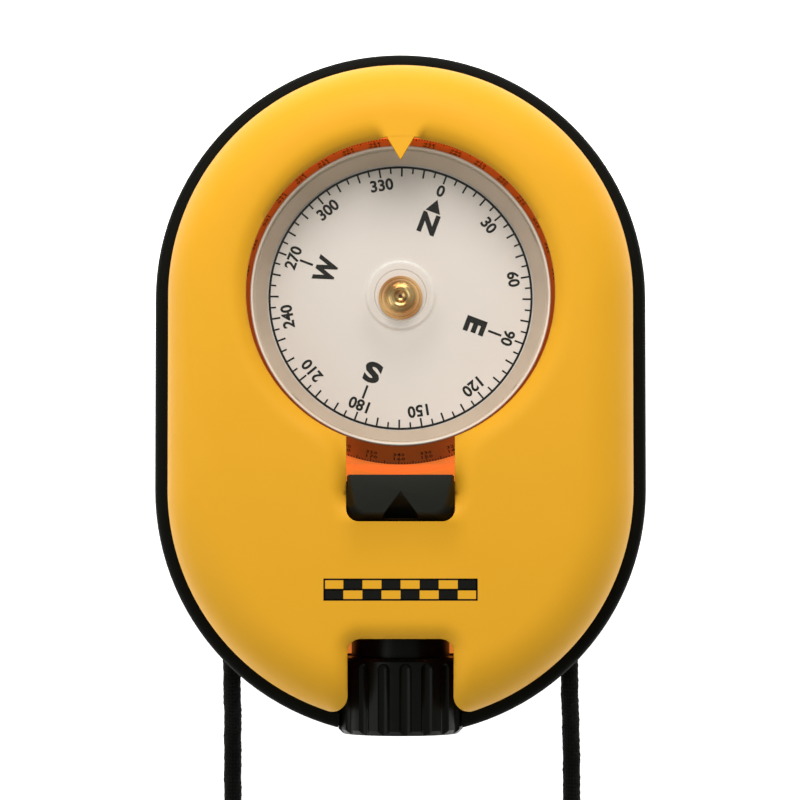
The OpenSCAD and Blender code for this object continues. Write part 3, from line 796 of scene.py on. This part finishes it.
def make_sight_block():
    """Rear sight: a block that fills its slot, with sloping sides and a cone-shaped notch."""
    low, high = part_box("sight_block")
    front = high.y + 0.35 * MM
    deep = front - SLOT[1]
    shelf = high.z - 2 * MM
    half_w = SLOT[0] - 0.03 * MM
    corner = SLOT[3] - 0.03 * MM
    made = block(half_w, SLOT[1], front, corner, low.z, shelf, front_corners=False)
    mesh = made.data
    pick_faces(made, lambda face: face.normal.z > 0.9)
    bpy.ops.mesh.inset(thickness=0.12 * MM, depth=0)
    bpy.ops.mesh.extrude_region_move(TRANSFORM_OT_translate={"value": (0, 0, high.z - shelf)})
    bpy.ops.object.mode_set(mode="OBJECT")
    lean = 1.2 * MM
    for vertex in mesh.vertices:
        if vertex.co.z > high.z - 0.1 * MM:
            back = (front - vertex.co.y) / deep
            vertex.co.x *= 0.965 - 0.18 * back
            vertex.co.y += lean * back
    soft = made.modifiers.new("soft", "BEVEL")
    soft.width = 0.09 * MM
    soft.segments = 2
    soft.limit_method = "ANGLE"
    soft.angle_limit = math.radians(25)
    bpy.context.view_layer.objects.active = made
    bpy.ops.object.modifier_apply(modifier="soft")
    step = 0.3 * MM
    for side in (-1, 1):
        fresh()
        at = (side * (half_w - step + MM), front, shelf)
        bpy.ops.mesh.primitive_cube_add(size=2 * MM, location=at)
        tool = bpy.context.object
        tool.scale.z = 8
        cut(made, tool)
    apex = front - 2.4 * MM
    rear_wall = 0.45 * MM
    length = apex - SLOT[1] - rear_wall
    fresh()
    bpy.ops.mesh.primitive_cone_add(vertices=64, radius1=0.74 * length, radius2=0, depth=length,
                                    location=(0, apex - length / 2, high.z),
                                    rotation=(-math.pi / 2, 0, 0))
    cut(made, bpy.context.object)
    bore_r = 4.4 * MM
    seat_r = 6.53 * MM
    tube_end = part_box("optic_tube")[1].y
    for radius, y1 in ((bore_r, front + MM), (seat_r, tube_end)):
        y0 = SLOT[1] - MM
        fresh()
        bpy.ops.mesh.primitive_cylinder_add(vertices=96, radius=radius, depth=y1 - y0,
                                            location=(0, (y0 + y1) / 2, middle("optic_tube").z),
                                            rotation=(math.pi / 2, 0, 0))
        cut(made, bpy.context.object)
    take(made)
    bpy.ops.object.shade_smooth_by_angle(angle=math.radians(30))
    piece = settle("sight_hood", FINISHES["optic_black"])
    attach(piece, "case")
    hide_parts("sight_block")


# ---- Printing on the cover ----

def make_cover_print():
    """A plain scale bar of dark and open cells between the sight and the eyepiece."""
    bar_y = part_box("sight_block")[0].y - 10.3 * MM
    cell = 2.8 * MM
    tall = 1.5 * MM
    line_w = 0.25 * MM
    cells = 8

    def at(x, y):
        return Matrix.Translation((x, bar_y + y, COVER_Z + INK_LIFT))

    parts = []
    for i in range(cells):
        x = (i - (cells - 1) / 2) * cell
        parts.append(stroke(cell, tall, at(x, tall / 2 if i % 2 else -tall / 2)))
    for y in (-tall, 0, tall):
        parts.append(stroke(cells * cell, line_w, at(0, y)))
    for x in (-cells / 2 * cell, cells / 2 * cell):
        parts.append(stroke(line_w, 2 * tall + line_w, at(x, 0)))
    printed = joined(parts, "cover_print", print_black)
    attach(printed, "case")


# ---- Lanyard ----

CORD_D = 2.9 * MM
SPACING = 0.3 * MM

# The two runs from inside the eyelets to the coil, in millimetres.
LEFT_ROUTE = [
    (-25.8, -33, 7), (-25.8, -37, 7), (-25.8, -41, 6.9), (-25.8, -44, 6.2), (-25.8, -47, 4.9),
    (-25.8, -50, 3.4), (-25.9, -53, 2.2), (-25.9, -56, 1.6), (-25.9, -60, 1.5), (-25.8, -64, 1.5),
    (-25.5, -68, 1.5), (-24.9, -72, 1.5), (-24, -76, 1.6), (-22.9, -80, 1.8), (-22, -84, 2),
    (-21.75, -88, 2.1),
]
RIGHT_ROUTE = [
    (25.8, -33, 7), (25.8, -37, 7), (25.8, -41, 6.9), (25.9, -44, 6.2), (26, -47, 4.9),
    (26.2, -50, 3.4), (26.3, -53, 2.2), (26.4, -56, 1.6), (26.4, -60, 1.5), (26.3, -64, 1.6),
    (26, -68, 2), (25.4, -72, 2.7), (24.6, -76, 3.7), (23.5, -80, 5), (22.4, -84, 6.2),
    (21.75, -88, 6.9),
]


def coil_line():
    """Seven and a half turns: three wound inwards, three outwards on them and the rest on top."""
    low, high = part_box("lanyard_coil")
    centre = middle("lanyard_coil")
    outer = (high.x - low.x - CORD_D) / 2
    base = low.z + CORD_D / 2
    start_r = abs(LEFT_ROUTE[-1][0]) * MM
    slots = (0, 1, 2, 2, 1, 0, 1, 0)
    layers = (0, 0, 0, 1, 1, 1, 2, 2)
    turns = 7.5
    quarter = 0.25
    per_turn = 72
    line = []
    for step in range(1, int(turns * per_turn)):
        t = step / per_turn
        radius = start_r + (outer - start_r) * eased(t / quarter)
        height = LEFT_ROUTE[-1][2] * MM
        height += (base - height) * eased(t / quarter)
        for n in range(1, len(slots)):
            change = eased((t - n + 0.15) / 0.3)
            radius += (slots[n - 1] - slots[n]) * CORD_D * change
            height += (layers[n] - layers[n - 1]) * CORD_D * eased((t - n + 0.3) / 0.3)
        leaving = eased((t - turns + quarter) / quarter)
        radius += (start_r - radius) * leaving
        height += (RIGHT_ROUTE[-1][2] * MM - height) * leaving
        angle = math.pi + 2 * math.pi * t
        line.append(Vector((
            centre.x + radius * math.cos(angle),
            centre.y + radius * math.sin(angle),
            height,
        )))
    return line


def smooth_line(points, spacing):
    """Points at an even spacing along a smooth curve through the given ones."""
    fine = []
    for i in range(len(points) - 1):
        p0, p1 = points[max(i - 1, 0)], points[i]
        p2, p3 = points[i + 1], points[min(i + 2, len(points) - 1)]
        parts = 24
        for k in range(parts):
            s = k / parts
            fine.append(0.5 * (2 * p1 + (p2 - p0) * s + (2 * p0 - 5 * p1 + 4 * p2 - p3) * s ** 2
                               + (3 * p1 - p0 - 3 * p2 + p3) * s ** 3))
    fine.append(points[-1])
    even = [fine[0]]
    left = spacing
    for a, b in zip(fine, fine[1:]):
        gap = (b - a).length
        along = left
        while along <= gap:
            even.append(a.lerp(b, along / gap))
            along += spacing
        left = along - gap
    return even


def make_lanyard():
    """One braided tube from eyelet to eyelet, its strands standing proud in a diamond pattern."""
    route = [Vector(p) * MM for p in LEFT_ROUTE]
    route += coil_line()
    route += [Vector(p) * MM for p in reversed(RIGHT_ROUTE)]
    path = smooth_line(route, SPACING)
    sides = 24
    pitch = 1.15 * MM
    relief = 0.15 * MM
    core = CORD_D / 2 - relief
    rings = []
    for i, point in enumerate(path):
        ahead = (path[min(i + 1, len(path) - 1)] - path[max(i - 1, 0)]).normalized()
        side = ahead.cross(Vector((0, 0, 1))).normalized()
        up = side.cross(ahead)
        along = i * SPACING / pitch
        for k in range(sides):
            a = 2 * math.pi * k / sides
            diamond = math.sin(math.pi * along + 4 * a) * math.sin(math.pi * along - 4 * a)
            loose = 0.5 + 0.5 * math.sin(1.7 * along + 3 * a) * math.sin(0.6 * along)
            radius = core + relief * loose * abs(diamond) ** 0.7
            rings.append(point + radius * (math.cos(a) * side + math.sin(a) * up))
    faces = []
    for i in range(len(path) - 1):
        for k in range(sides):
            a = i * sides + k
            b = i * sides + (k + 1) % sides
            faces.append((a, b, b + sides, a + sides))
    last = (len(path) - 1) * sides
    faces.append(tuple(reversed(range(sides))))
    faces.append(tuple(range(last, last + sides)))
    mesh = bpy.data.meshes.new("lanyard")
    mesh.from_pydata(rings, [], faces)
    mesh.shade_smooth()
    chart = mesh.uv_layers.new(name="braid")
    for face in mesh.polygons[:-2]:
        wraps = face.vertices[1] % sides == 0
        for corner, vertex in zip(face.loop_indices, face.vertices):
            around = vertex % sides
            if wraps and around == 0:
                around = sides
            chart.data[corner].uv = (around / sides, vertex // sides * SPACING / pitch)
    lanyard = bpy.data.objects.new("lanyard", mesh)
    bpy.context.scene.collection.objects.link(lanyard)
    mesh.materials.append(FINISHES["black_braid"].material)
    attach(lanyard, "case")
    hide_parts("lanyard_left_run", "lanyard_right_run", "lanyard_coil")
    path[::3] + [path[-1]]


# ---- Stage ----

def lamp(name, place, size, power, colour):
    """A soft square light turned to the dial."""
    towards = (CARD - Vector(place)).to_track_quat("-Z", "Y")
    bpy.ops.object.light_add(type="AREA", location=place, rotation=towards.to_euler())
    light = bpy.context.object
    light.name = name
    light.data.size = size
    light.data.energy = power
    light.data.color = colour


def make_stage():
    """White paper under the compass, one soft light beyond its far end and a weaker one beside."""
    fresh()
    bpy.ops.mesh.primitive_plane_add(size=4, location=(0, 0, -0.02 * MM))
    floor = bpy.context.object
    floor.name = "floor"
    paper = Finish("floor_paper", (0.95, 0.95, 0.95), 0.9, Emission_Strength=1.0,
                   Emission_Color=(1, 1, 1, 1))
    paper.colour(paper.blend(paper.noise(50 * MM), (0.93, 0.93, 0.93), (0.96, 0.96, 0.96)))
    floor.data.materials.append(paper.material)
    world = bpy.data.worlds.new("studio")
    world.use_nodes = True
    sky = world.node_tree.nodes["Background"]
    sky.inputs["Color"].default_value = (0.93, 1, 0.88, 1)
    sky.inputs["Strength"].default_value = 0.4
    bpy.context.scene.world = world
    lamp("key", (0, 0.235, 0.26), 0.2, 1.08, (1, 0.93, 0.86))
    lamp("fill", (-0.4, -0.1, 0.4), 0.4, 0.6, (1, 1, 1))
    bpy.context.scene.view_settings.view_transform = "Standard"


make_camera()
make_lanyard()
dress_nodes()
make_cover()
make_index_pointer()
make_sight_block()
make_card_print()
make_scale_print()
make_cover_print()
make_stage()
